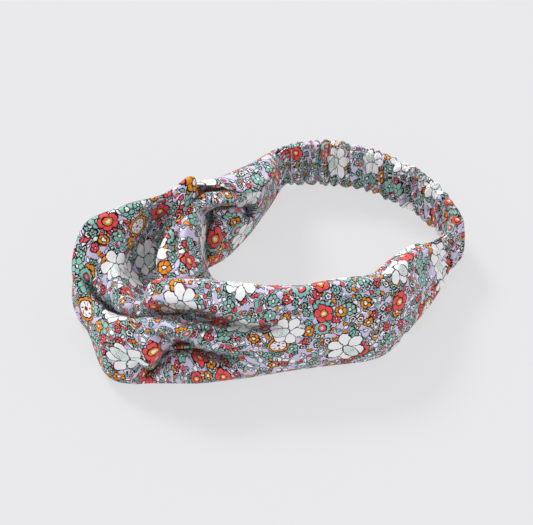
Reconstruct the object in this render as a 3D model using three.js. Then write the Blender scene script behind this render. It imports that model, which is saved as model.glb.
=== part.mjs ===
// Knotted headband: two hooked fabric strips and a gathered elastic casing.
// Millimetres, +X right, +Y back, +Z up. It stands on its edge on the floor, z = 0.
import * as THREE from 'three';

// Driving dimensions
const STRIP_THICK = 1.8;      // a turned strip, two layers of cotton lawn
const STRIP_STEPS = 3;        // mesh steps between two control sections
const STRIP_ACROSS = 2;       // mesh steps between two points of a section
const CASING_TALL = 25;       // casing height as it stands
const CASING_THICK = 7.6;     // casing depth between its gathers
const CASING_WALL = 0.9;      // gathered fabric wall
const CASING_MIDDLE = 13.7;   // height of the casing's centre line
const CASING_RINGS = 104;     // mesh rings along the casing
const CASING_SIDES = 14;      // mesh sides round the casing
const GATHERS = 26;           // gathers along the relaxed casing
const GATHER_DEEP = 0.75;     // how far a gather stands proud
const ELASTIC_WIDE = 18.4;    // woven elastic width
const ELASTIC_THICK = 1.2;    // woven elastic thickness
const THREAD = 0.6;           // sewing thread, doubled, as a round section
const FLOOR_GAP = 0.4;        // lowest point of the soft edges above the floor

// Plan of the casing's centre line, from the left join to the right join.
const CASING_PATH = [
  [9.4, 48.6], [14, 49.8], [25, 50.7], [35, 48.8], [44, 45.8], [54, 41.2], [63, 35],
  [71, 27.6], [77.2, 19.6], [81.6, 10], [83, 1], [80.6, -6.6],
];

// Right strip. Each section runs from its floor edge to its top or inner edge.
// Outer leg: from the right join along the front, round the left end and up to the rim.
const RIGHT_OUTER = [
  [[79, -9.4, 1], [79.6, -10, 5], [79.4, -10.6, 8], [79, -11, 11.5], [78.6, -11.4, 15],
    [78, -12, 18.5], [77.4, -12.6, 21.5], [76.6, -13.4, 24.5], [76, -14, 27]],
  [[75, -19, 0], [77, -19.6, 6], [76.8, -20, 11], [76, -20.6, 16], [75, -21, 20.5],
    [73.4, -21.4, 25], [71.6, -21.6, 28.5], [69.8, -21.6, 31.5], [67.6, -20.6, 31]],
  [[67, -36, 0], [70, -38, 7], [70.2, -38.6, 14], [69, -38.6, 21], [67.4, -38.6, 27],
    [65, -38.6, 32.6], [62.6, -38.6, 37], [59.6, -38.8, 39.8], [57, -36, 37.6]],
  [[58, -51, 0], [61, -54, 8], [61, -54.6, 16], [59.6, -54.8, 24], [57.6, -54.8, 31],
    [55, -54.6, 37], [52.6, -53.6, 41], [50, -51.8, 42.6], [48.4, -47.6, 39]],
  [[46, -60.6, 0], [47.4, -64, 8], [47.4, -64.8, 16], [46.6, -64.6, 24], [45.4, -63.8, 31.6],
    [44, -62, 38], [43, -59.6, 42.6], [41.6, -56, 45], [40, -50.6, 42]],
  [[27, -64, 0], [27.2, -67.6, 8], [27.2, -68.8, 16], [27, -68.6, 24], [26.8, -67.4, 32],
    [26.4, -65.4, 38.4], [26, -62.8, 43], [25.6, -59, 45.4], [25, -53.6, 42]],
  [[10, -67, 0], [10, -70.8, 8], [10, -72.2, 15], [10, -72.6, 23], [10, -72.2, 29],
    [10, -69.8, 34], [10, -67.8, 40], [10, -63.4, 45.2], [10, -57.4, 42]],
  [[-6, -71, 0], [-6, -74.4, 7], [-6, -75, 14], [-6, -74.8, 21], [-6, -76.4, 27.4],
    [-6, -71, 31.4], [-6, -69.4, 38.6], [-6, -63, 46.4], [-6, -56.4, 43]],
  [[-20, -73.4, 0], [-20, -76, 7], [-20, -75.4, 14], [-20, -74, 20.6], [-20, -77.6, 28.4],
    [-20, -69, 31], [-20, -68, 38.4], [-20, -62.8, 48], [-20, -56, 44]],
  [[-36, -75.4, 0], [-36, -77, 6], [-36, -74.6, 12.6], [-37, -71.6, 19.6], [-38, -74.6, 31.4],
    [-37, -66.4, 33.4], [-37, -66.4, 39.4], [-37, -62.2, 49.4], [-36, -56, 46]],
  [[-52, -76, 0], [-53, -78, 7], [-54, -77, 14], [-55, -75, 21.4], [-55, -72.4, 31],
    [-52, -65.6, 33], [-52, -65, 39], [-51, -61.4, 47], [-49, -56, 43]],
  [[-69, -71.6, 0], [-72.6, -71, 7], [-74, -69, 14], [-74, -65.6, 21], [-71, -64, 28.6],
    [-65, -62, 30.6], [-60, -61.6, 32], [-57, -60, 34.6], [-53.6, -56, 33]],
  [[-77, -50.6, 21], [-80.4, -51, 22.4], [-82.4, -50, 24.6], [-82.4, -48.6, 28.6],
    [-79, -48, 33.6], [-73, -50, 32.6], [-67, -51.6, 33.6], [-61, -52.6, 34], [-56, -50, 28]],
  [[-78.6, -37, 24], [-82.6, -37, 26], [-85.6, -36.6, 29], [-86, -36, 33.6], [-83, -34.6, 40.4],
    [-76.6, -36, 40.6], [-69, -38.6, 37.6], [-61.6, -40.6, 33.6], [-55, -40, 27]],
  [[-75, -24, 30], [-78.6, -24, 35], [-80.8, -24, 41], [-80.8, -24.2, 46], [-78.6, -25, 50],
    [-72, -26.6, 49], [-64, -28.6, 43.6], [-57, -30, 36.6], [-51, -30, 28]],
  [[-62, -11.6, 34], [-63, -12, 39.6], [-62.6, -13, 45.6], [-61.4, -15, 50.6], [-60, -18.4, 54],
    [-57.4, -21.6, 50.4], [-53.6, -23.6, 43.6], [-50, -25, 36], [-47, -24.6, 28]],
  [[-46, -4, 38], [-46.4, -4.2, 43.6], [-45.6, -5, 49], [-44.4, -7, 53.6], [-42.8, -10.6, 56.4],
    [-42.2, -14, 51.6], [-42.2, -15.6, 44.4], [-42.4, -16, 36.6], [-42, -15.4, 28.6]],
  [[-36, 0, 46], [-35.6, 0.2, 50], [-34.6, -0.4, 53.6], [-33.4, -2, 56.4], [-32, -4.6, 57.4],
    [-32.6, -8, 54], [-34.6, -10, 46], [-36.6, -9.8, 37.6], [-37.4, -8, 29]],
];
// Turn inside the knot and inner leg back to the right join.
const RIGHT_INNER = [
  [[-32, 0.4, 44.4], [-31, 0.4, 46.4], [-30.4, -0.4, 47.4], [-30.6, -2, 46.4], [-31.6, -3, 43],
    [-33, -3, 39], [-34.4, -3, 35], [-35.4, -2.4, 31], [-36, -1.6, 27]],
  [[-30, -5, 8], [-29.6, -5.4, 11], [-29.6, -6, 14.4], [-29.8, -6.6, 18], [-30.4, -7, 21.6],
    [-31.2, -7.4, 25], [-32, -7.6, 28], [-33, -7.4, 30.6], [-34, -6.6, 33]],
  [[-24, -24, 2], [-23.6, -24.4, 5], [-23.6, -25, 8.6], [-23.8, -25.6, 12], [-24.4, -26, 15],
    [-25, -26.4, 17.6], [-26, -26.4, 19.6], [-27.2, -26, 21.2], [-28.4, -25, 22.4]],
  [[-14, -46, 1], [-13.6, -46.8, 6], [-13.4, -47.6, 12], [-13.2, -48.4, 17], [-13.2, -49, 22],
    [-13.2, -49.8, 26.6], [-13.2, -50.4, 30.6], [-13.4, -51, 34], [-13.6, -51, 36.6]],
  [[0, -62.6, 1], [0, -63.8, 7], [0, -64.4, 14], [0, -64.4, 21], [0, -63.4, 28],
    [0, -61.6, 33.6], [0, -59.4, 38], [0, -57, 40], [0, -54, 39.6]],
  [[25, -59, 1], [25, -62, 8], [25, -63.4, 15.6], [25, -63.2, 23], [25, -62, 30.6],
    [25, -60, 36.4], [25, -57.6, 40], [24.6, -55, 40], [24, -51.4, 37.4]],
  [[43, -55.6, 1], [43.6, -58.6, 8], [43.6, -59.6, 15.6], [43, -59.2, 23], [42, -58, 30.4],
    [40.8, -56, 36.2], [40, -53.6, 39.6], [39, -51.6, 40], [38, -47.6, 37]],
  [[54.4, -46.6, 1], [57, -49, 8], [57, -49.8, 15.4], [55.8, -49.8, 23], [54, -49.6, 29.6],
    [51.8, -49, 35], [49.8, -47.6, 38], [48.4, -46, 38.6], [46.8, -43, 36]],
  [[63, -34, 1], [65.6, -35.4, 7], [65.8, -36, 13.6], [64.8, -36, 20], [63.2, -36, 26],
    [61, -35.8, 31], [59, -35.4, 34.4], [56.6, -34.8, 36], [54.6, -32, 34]],
  [[71.6, -18.6, 1], [73.2, -19, 6], [73, -19.4, 11], [72.2, -19.6, 15.6], [71.4, -19.8, 20],
    [70, -20, 24], [68.4, -20, 27], [66.6, -19.6, 29.6], [65, -18, 29]],
  [[75.6, -7.8, 1], [76.2, -8.4, 5], [76, -9, 8], [75.6, -9.4, 11.5], [75.2, -9.8, 15],
    [74.6, -10.4, 18.5], [74, -11, 21.5], [73.2, -11.8, 24.5], [72.6, -12.4, 27]],
];

// Left strip, from its outer edge on the floor to its top or inner edge.
// Outer leg: from the left join along the outside of the knot, tucked under the left end.
const LEFT_OUTER = [
  [[5.6, 49.4, 1], [4.8, 49, 6], [4.2, 48.6, 11], [3.8, 48.2, 16], [3.6, 47.6, 20],
    [3.8, 46.6, 24], [4.2, 45.2, 27]],
  [[-3, 34.6, 0], [-5, 35, 9], [-5.6, 35, 18], [-5, 34.4, 26], [-2.8, 33, 31.4],
    [0.8, 31, 33.6], [4, 29.2, 32]],
  [[-15, 20.4, 0], [-17.4, 21, 11], [-17.6, 21, 22], [-16.4, 20, 32], [-13.4, 17.6, 39.6],
    [-8.6, 13.6, 41.6], [-3.6, 9.8, 38]],
  [[-27, 13, 0], [-28.4, 13.6, 10], [-28.6, 13.2, 20], [-27.4, 12.2, 30], [-25.4, 9.6, 38.4],
    [-22, 5.4, 43.4], [-18, 1, 42.6]],
  [[-39, 9.4, 0], [-40, 9.6, 9], [-40, 9.2, 17], [-39.4, 8.4, 25], [-38.4, 6.8, 31.6],
    [-37, 5.2, 37], [-35, 4, 41]],
  [[-61, 1.4, 0], [-62, 2, 7], [-62.4, 1.6, 13.6], [-62.4, 0.6, 20], [-62, -1.2, 26],
    [-61.4, -3.2, 31], [-61, -5.4, 35.4]],
  [[-79, -13.6, 0], [-81, -13, 6], [-81.6, -13.2, 12], [-81.6, -14, 18], [-80.8, -15.4, 23.4],
    [-79.6, -17, 28.4], [-78, -18.8, 32]],
  [[-83, -31, 0], [-85, -31, 4], [-85.4, -31, 8], [-85, -31.4, 12], [-83.8, -31.8, 15.4],
    [-82, -32.4, 18.4], [-80, -33, 20.6]],
  [[-77, -45, 0.4], [-78.6, -45.6, 3.6], [-78.6, -46, 7], [-77.8, -46, 10.4], [-76.6, -46, 13.6],
    [-75, -46, 16.4], [-73.6, -45.6, 19]],
];
// Bend under the right strip's top roll and inner leg back up to the left join.
const LEFT_INNER = [
  [[-63, -56, 1], [-63.6, -57, 4.6], [-63.6, -57.6, 8.6], [-63, -57.6, 12.6], [-62, -57, 16.6],
    [-61, -56, 20], [-60, -54.6, 23]],
  [[-48, -60, 2], [-48, -62, 6], [-48, -63, 10.4], [-47.6, -63, 15], [-47, -62, 19.6],
    [-46.6, -60.4, 23.6], [-46, -58, 27]],
  [[-32, -54, 4], [-31.4, -55, 8], [-31.4, -55.6, 12.6], [-32.6, -55.6, 17.6], [-35.6, -55.2, 22],
    [-39.6, -54.6, 25.6], [-44, -53.6, 28]],
  [[-28.6, -42, 22], [-28.8, -41.6, 25.6], [-30.8, -41.6, 28.8], [-34, -42, 31.6], [-39, -42.4, 33.4],
    [-43.6, -42.6, 33.6], [-47.6, -42.4, 32]],
  [[-28.4, -28, 29], [-29, -27, 32.4], [-31.4, -27, 35.8], [-35, -27.6, 38.6], [-39.6, -29, 40],
    [-44, -30.6, 39.6], [-48, -32, 37]],
  [[-24.6, -14.6, 34], [-26, -13.4, 38.6], [-28.6, -13.4, 42.4], [-31.6, -14.4, 44.6],
    [-34.8, -16.4, 45.4], [-37.6, -19, 44], [-39.6, -21.6, 41]],
  [[-20, -7, 20], [-20.4, -7, 27], [-20.8, -6.6, 34], [-22, -6.4, 41], [-24.6, -7.2, 46],
    [-27.6, -8.8, 48], [-30.4, -11, 47]],
  [[-15, 4, 0], [-14, 1.4, 9], [-12.8, -1, 18], [-12, -2.6, 26.6], [-12.6, -2.6, 34],
    [-14.4, -1.6, 39], [-16.6, -0.6, 40.4]],
  [[-5.6, 20, 0], [-4.2, 17.6, 8], [-3, 15, 16], [-2.4, 12.6, 23.6], [-2.6, 11, 30],
    [-4.4, 10.8, 34.4], [-7.4, 12.4, 36.4]],
  [[2.4, 35.6, 0], [3, 34.2, 6.6], [3.4, 32.8, 13], [3.6, 31.6, 19], [3.2, 31, 24],
    [1.8, 31.4, 27.6], [-0.6, 32.4, 29.6]],
  [[7.6, 45.4, 1], [7.4, 45, 6], [7.2, 44.4, 11], [7, 44, 16], [6.8, 43.6, 20],
    [6.6, 43, 24], [6.4, 42, 27]],
];

function standard(name, colour, roughness) {
  return new THREE.MeshStandardMaterial({ name, color: colour, roughness, metalness: 0 });
}

// Smooth grid through the control sections: grid[station][across].
function loft(sections, along, across) {
  const columns = sections[0].map((_, c) => new THREE.CatmullRomCurve3(
    sections.map((row) => new THREE.Vector3(...row[c])), false, 'centripetal'));
  const stations = (sections.length - 1) * along;
  const points = (sections[0].length - 1) * across;
  const grid = [];
  for (let s = 0; s <= stations; s++) {
    const row = new THREE.CatmullRomCurve3(
      columns.map((curve) => curve.getPoint(s / stations)), false, 'centripetal');
    grid.push(Array.from({ length: points + 1 }, (_, p) => row.getPoint(p / points)));
  }
  return grid;
}

// Unit normals of a grid, from its neighbours.
function gridNormals(grid) {
  const last = (list) => list.length - 1;
  return grid.map((row, s) => row.map((_, p) => {
    const before = grid[Math.max(s - 1, 0)][p];
    const after = grid[Math.min(s + 1, last(grid))][p];
    const left = row[Math.max(p - 1, 0)];
    const right = row[Math.min(p + 1, last(row))];
    const along = new THREE.Vector3().subVectors(after, before);
    const across = new THREE.Vector3().subVectors(right, left);
    return along.cross(across).normalize();
  }));
}

// Triangles as a geometry whose faces look outward.
function solid(vertices, triangles) {
  let volume = 0;
  for (const [a, b, c] of triangles) {
    const cross = new THREE.Vector3().crossVectors(vertices[b], vertices[c]);
    volume += vertices[a].dot(cross);
  }
  const index = triangles.flatMap(([a, b, c]) => (volume < 0 ? [a, c, b] : [a, b, c]));
  const geometry = new THREE.BufferGeometry().setFromPoints(vertices);
  geometry.setIndex(index);
  geometry.computeVertexNormals();
  return geometry;
}

// A sheet of even thickness round a grid, closed at its four edges.
function thickSheet(grid, thickness) {
  const normals = gridNormals(grid);
  const stations = grid.length;
  const points = grid[0].length;
  const side = (sign) => grid.flatMap((row, s) => row.map((at, p) => {
    const edge = p === 0 || p === points - 1 ? 0.45 : 1;
    return at.clone().addScaledVector(normals[s][p], (sign * edge * thickness) / 2);
  }));
  const vertices = [...side(1), ...side(-1)];
  for (const vertex of vertices) vertex.z = Math.max(vertex.z, FLOOR_GAP);
  const under = stations * points;
  const at = (s, p) => s * points + p;
  const triangles = [];
  const quad = (a, b, c, d) => triangles.push([a, b, c], [a, c, d]);
  for (let s = 0; s + 1 < stations; s++) {
    for (let p = 0; p + 1 < points; p++) {
      const [a, b, c, d] = [at(s, p), at(s, p + 1), at(s + 1, p + 1), at(s + 1, p)];
      quad(a, b, c, d);
      quad(under + a, under + d, under + c, under + b);
    }
    for (const [p, flip] of [[0, false], [points - 1, true]]) {
      const [a, b] = flip ? [at(s + 1, p), at(s, p)] : [at(s, p), at(s + 1, p)];
      quad(a, b, under + b, under + a);
    }
  }
  for (let p = 0; p + 1 < points; p++) {
    quad(at(0, p + 1), at(0, p), under + at(0, p), under + at(0, p + 1));
    const [a, b] = [at(stations - 1, p), at(stations - 1, p + 1)];
    quad(a, b, under + b, under + a);
  }
  return solid(vertices, triangles);
}

// The casing's centre line as points with their sideways directions.
function casingStations(count, trim) {
  const curve = new THREE.CatmullRomCurve3(
    CASING_PATH.map(([x, y]) => new THREE.Vector3(x, y, 0)), false, 'centripetal');
  return Array.from({ length: count + 1 }, (_, i) => {
    const t = trim + (1 - 2 * trim) * (i / count);
    const along = curve.getTangentAt(t);
    return { at: curve.getPointAt(t), out: new THREE.Vector3(-along.y, along.x, 0), t };
  });
}

// Half depth and half height of the casing at t, with its gathers.
function casingHalves(t) {
  const gather = Math.sin(2 * Math.PI * GATHERS * t);
  const frill = Math.sin(2 * Math.PI * GATHERS * 1.37 * t + 1.1);
  const end = Math.min(1, Math.min(t, 1 - t) / 0.05);
  const deep = CASING_THICK / 2 + GATHER_DEEP * gather * end - 0.6 * (1 - end);
  const tall = CASING_TALL / 2 + 0.8 * frill * end - 0.6 * (1 - end);
  return { deep, tall };
}

// A ring of points round the casing: a soft-cornered upright oval, shrunk by inset.
function casingRing(station, inset) {
  const { deep, tall } = casingHalves(station.t);
  const round = (value) => Math.sign(value) * Math.abs(value) ** 0.72;
  const ring = [];
  for (let k = 0; k < CASING_SIDES; k++) {
    const angle = (2 * Math.PI * k) / CASING_SIDES;
    const side = round(Math.cos(angle)) * (deep - inset);
    const up = round(Math.sin(angle)) * (tall - inset);
    ring.push(station.at.clone().addScaledVector(station.out, side).setZ(CASING_MIDDLE + up));
  }
  return ring;
}

// A tube with an open bore: an outer skin, an inner skin and two rims.
function openTube(outerRings, innerRings) {
  const sides = outerRings[0].length;
  const rings = outerRings.length;
  const vertices = [...outerRings.flat(), ...innerRings.flat()];
  const inner = rings * sides;
  const at = (r, k) => r * sides + (k % sides);
  const triangles = [];
  const quad = (a, b, c, d) => triangles.push([a, b, c], [a, c, d]);
  for (let k = 0; k < sides; k++) {
    for (let r = 0; r + 1 < rings; r++) {
      const [a, b, c, d] = [at(r, k), at(r, k + 1), at(r + 1, k + 1), at(r + 1, k)];
      quad(a, b, c, d);
      quad(inner + a, inner + d, inner + c, inner + b);
    }
    quad(at(0, k + 1), at(0, k), inner + at(0, k), inner + at(0, k + 1));
    const [a, b] = [at(rings - 1, k), at(rings - 1, k + 1)];
    quad(a, b, inner + b, inner + a);
  }
  return solid(vertices, triangles);
}

function elasticCasing() {
  const stations = casingStations(CASING_RINGS, 0.006);
  const outer = stations.map((station) => casingRing(station, 0));
  const inner = stations.map((station) => casingRing(station, CASING_WALL));
  return openTube(outer, inner);
}

// A flat upright band along the casing's centre line.
function elasticBand() {
  const grid = casingStations(60, 0.012).map(({ at }) => [-1, -0.5, 0, 0.5, 1].map(
    (up) => at.clone().setZ(CASING_MIDDLE + (up * ELASTIC_WIDE) / 2)));
  return thickSheet(grid, ELASTIC_THICK);
}

// A round thread along a path, closed into a loop or capped at its ends.
function thread(points, closed, segments) {
  const curve = new THREE.CatmullRomCurve3(points, closed, 'centripetal');
  const sides = 6;
  const frames = curve.computeFrenetFrames(segments, closed);
  const count = closed ? segments : segments + 1;
  const vertices = [];
  for (let s = 0; s < count; s++) {
    const at = curve.getPointAt(s / segments);
    for (let k = 0; k < sides; k++) {
      const angle = (2 * Math.PI * k) / sides;
      vertices.push(at.clone()
        .addScaledVector(frames.normals[s], (Math.cos(angle) * THREAD) / 2)
        .addScaledVector(frames.binormals[s], (Math.sin(angle) * THREAD) / 2));
    }
  }
  const at = (s, k) => (s % count) * sides + (k % sides);
  const triangles = [];
  for (let s = 0; s < (closed ? count : count - 1); s++) {
    for (let k = 0; k < sides; k++) {
      triangles.push([at(s, k), at(s, k + 1), at(s + 1, k + 1)]);
      triangles.push([at(s, k), at(s + 1, k + 1), at(s + 1, k)]);
    }
  }
  if (!closed) {
    for (let k = 1; k + 1 < sides; k++) {
      triangles.push([at(0, 0), at(0, k + 1), at(0, k)]);
      triangles.push([at(count - 1, 0), at(count - 1, k), at(count - 1, k + 1)]);
    }
  }
  return solid(vertices, triangles);
}

// Stitches that close a join: an upright loop in the gap between strip and casing.
function joinThread(x, y, outX, outY) {
  const points = [];
  for (let k = 0; k < 24; k++) {
    const angle = (2 * Math.PI * k) / 24;
    const side = 2.2 * Math.cos(angle) + 0.25 * Math.sin(6 * angle);
    const up = 11.4 * Math.sin(angle);
    points.push(new THREE.Vector3(x + outX * side, y + outY * side, CASING_MIDDLE + up));
  }
  return thread(points, true, 72);
}

// Zigzag beside the elastic's end, inside the casing.
function elasticTack(atStart) {
  const stations = casingStations(60, 0.03);
  const use = atStart ? stations.slice(0, 3) : stations.slice(-3);
  const teeth = 9;
  const points = [];
  for (let k = 0; k <= teeth; k++) {
    const { at, out } = use[k % 2 === 0 ? 0 : 2];
    const up = CASING_MIDDLE + ((k / teeth) * 2 - 1) * 6.6;
    points.push(at.clone().addScaledVector(out, -1.35).setZ(up));
  }
  return thread(points, false, 54);
}

// The casing's long seam, a line of stitches under the elastic.
function casingSeam() {
  const points = casingStations(52, 0.02).map(({ at, out }, i) => (
    at.clone().addScaledVector(out, i % 2 ? 0.3 : -0.3)
      .setZ(CASING_MIDDLE - ELASTIC_WIDE / 2 - 0.8)));
  return thread(points, false, 150);
}

function add(group, name, geometry, material) {
  const mesh = new THREE.Mesh(geometry, material);
  mesh.name = name;
  group.add(mesh);
}

function headband() {
  const group = new THREE.Group();
  group.name = 'knotted_headband';
  const print = standard('floral_cotton', 0xb9b4cc, 0.92);
  const casing = standard('floral_casing', 0xb0aac6, 0.93);
  const elastic = standard('woven_elastic', 0xf2f1ee, 0.85);
  const cotton = standard('sewing_thread', 0xd8d0e4, 0.8);
  const left = loft([...LEFT_OUTER, ...LEFT_INNER], STRIP_STEPS, STRIP_ACROSS);
  const right = loft([...RIGHT_OUTER, ...RIGHT_INNER], STRIP_STEPS, STRIP_ACROSS);
  add(group, 'left_strip', thickSheet(left, STRIP_THICK), print);
  add(group, 'right_strip', thickSheet(right, STRIP_THICK), print);
  add(group, 'elastic_casing', elasticCasing(), casing);
  add(group, 'elastic_band', elasticBand(), elastic);
  add(group, 'left_join_thread', joinThread(7.7, 47.6, -0.6, 0.8), cotton);
  add(group, 'right_join_thread', joinThread(79.4, -8, 0.9, 0.44), cotton);
  add(group, 'left_elastic_tack', elasticTack(true), cotton);
  add(group, 'right_elastic_tack', elasticTack(false), cotton);
  add(group, 'casing_seam_thread', casingSeam(), cotton);
  return group;
}

// Puts the middle of the footprint at the origin, on the floor.
function centred(group) {
  const box = new THREE.Box3().setFromObject(group, true);
  const middle = box.getCenter(new THREE.Vector3());
  group.position.set(-middle.x, -middle.y, -box.min.z);
  return group;
}

export default centred(headband());
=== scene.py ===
"""Knotted headband: two hooked cotton strips and a gathered elastic casing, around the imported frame.

Control sections are in millimetres before the part's own centring shift (SHIFT). Everything built is in
metres.
"""
import math
import bpy
import numpy as np
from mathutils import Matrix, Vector


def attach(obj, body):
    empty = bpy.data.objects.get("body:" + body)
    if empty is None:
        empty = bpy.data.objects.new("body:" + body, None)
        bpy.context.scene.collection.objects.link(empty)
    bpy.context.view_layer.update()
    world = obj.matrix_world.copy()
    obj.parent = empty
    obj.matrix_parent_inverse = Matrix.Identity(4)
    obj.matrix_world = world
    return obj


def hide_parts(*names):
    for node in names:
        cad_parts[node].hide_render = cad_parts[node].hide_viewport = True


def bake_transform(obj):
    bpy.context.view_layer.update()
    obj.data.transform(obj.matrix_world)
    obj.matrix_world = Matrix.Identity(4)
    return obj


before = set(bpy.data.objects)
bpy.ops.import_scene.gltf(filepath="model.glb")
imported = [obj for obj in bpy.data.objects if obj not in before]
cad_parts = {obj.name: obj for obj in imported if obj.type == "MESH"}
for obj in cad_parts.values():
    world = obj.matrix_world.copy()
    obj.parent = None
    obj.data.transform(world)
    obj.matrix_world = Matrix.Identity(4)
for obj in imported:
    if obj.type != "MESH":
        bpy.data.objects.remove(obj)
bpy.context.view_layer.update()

SHIFT = np.array([-0.1239, 11.9988, -0.4])  # mm, from the control sections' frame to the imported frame
MM = 0.001
FLOOR_GAP = 0.42  # mm, lowest point of the cloth
FACE_SHIFT = 400.0  # mm, print offset between the two faces of a strip

# ---------------------------------------------------------------- control sections
def sections(*rows):
    """Control sections, each row a run of x, y, z."""
    return [np.reshape(row, (-1, 3)) for row in rows]


# Right strip: each section runs from the floor edge to the top or inner edge. The plain sections of the
# front come first; the knot's sections, with their ridges and valleys, follow.
RIGHT_FRONT = sections(
    [82.4, -2.2, 3, 82.4, -2.2, 6.6, 82.4, -2.2, 10, 82.4, -2.2, 13, 82.4, -2.2, 16, 82.4, -2.3, 18.6,
     82.3, -2.4, 20.6, 82.3, -2.5, 22.2, 82.3, -2.6, 23.4],
    [81.2, -5.6, 2.4, 81.2, -5.7, 6.4, 81.2, -5.8, 10, 81.1, -5.9, 13, 81, -6.1, 16, 80.9, -6.3, 18.8,
     80.7, -6.5, 21, 80.5, -6.7, 23, 80.3, -6.9, 24.6],
    [79, -9.4, 1, 79.6, -10, 5, 79.4, -10.6, 8, 79, -11, 11.5, 78.6, -11.4, 15, 78, -12, 18.5,
     77.4, -12.6, 21.5, 76.6, -13.4, 24.5, 76, -14, 27],
    [75, -19, 0, 77, -19.6, 6, 76.8, -20, 11, 76, -20.6, 16, 75, -21, 20.5, 73.4, -21.4, 25,
     71.6, -21.6, 28.5, 69.8, -21.6, 31.5, 67.6, -20.6, 31],
    [66.4, -34.8, 0, 69.6, -37.4, 7, 70.2, -38.6, 14, 69, -38.6, 21, 67.4, -38.6, 27, 65, -38.6, 32.6,
     62.6, -38.6, 37, 59.6, -38.8, 39.8, 57, -36, 37.6],
    [54.8, -54.8, 0, 57, -56.4, 7.6, 58, -56.2, 16, 58, -55.8, 24, 57.2, -55.2, 31, 55, -54.6, 37,
     52.6, -53.6, 41, 50, -51.8, 42.6, 48.4, -47.6, 39],
    [46, -60.6, 0, 47.4, -64, 8, 47.4, -64.8, 16, 46.6, -64.6, 24, 45.4, -63.8, 31.6, 44, -62, 38,
     43, -59.6, 42.6, 41.6, -56, 45, 40, -50.6, 42],
    [27, -64, 0, 27.2, -67.6, 8, 27.2, -68.8, 16, 27, -68.6, 24, 26.8, -67.4, 32, 26.4, -65.4, 38.4,
     26, -62.8, 43, 25.6, -59, 45.4, 25, -53.6, 42],
    [10, -67, 0, 10, -70.8, 8, 10, -72.2, 15, 10, -72.6, 23, 10, -72.2, 29, 10, -69.8, 34, 10, -67.8, 40,
     10, -63.4, 45.2, 10, -57.4, 42],
)
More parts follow.
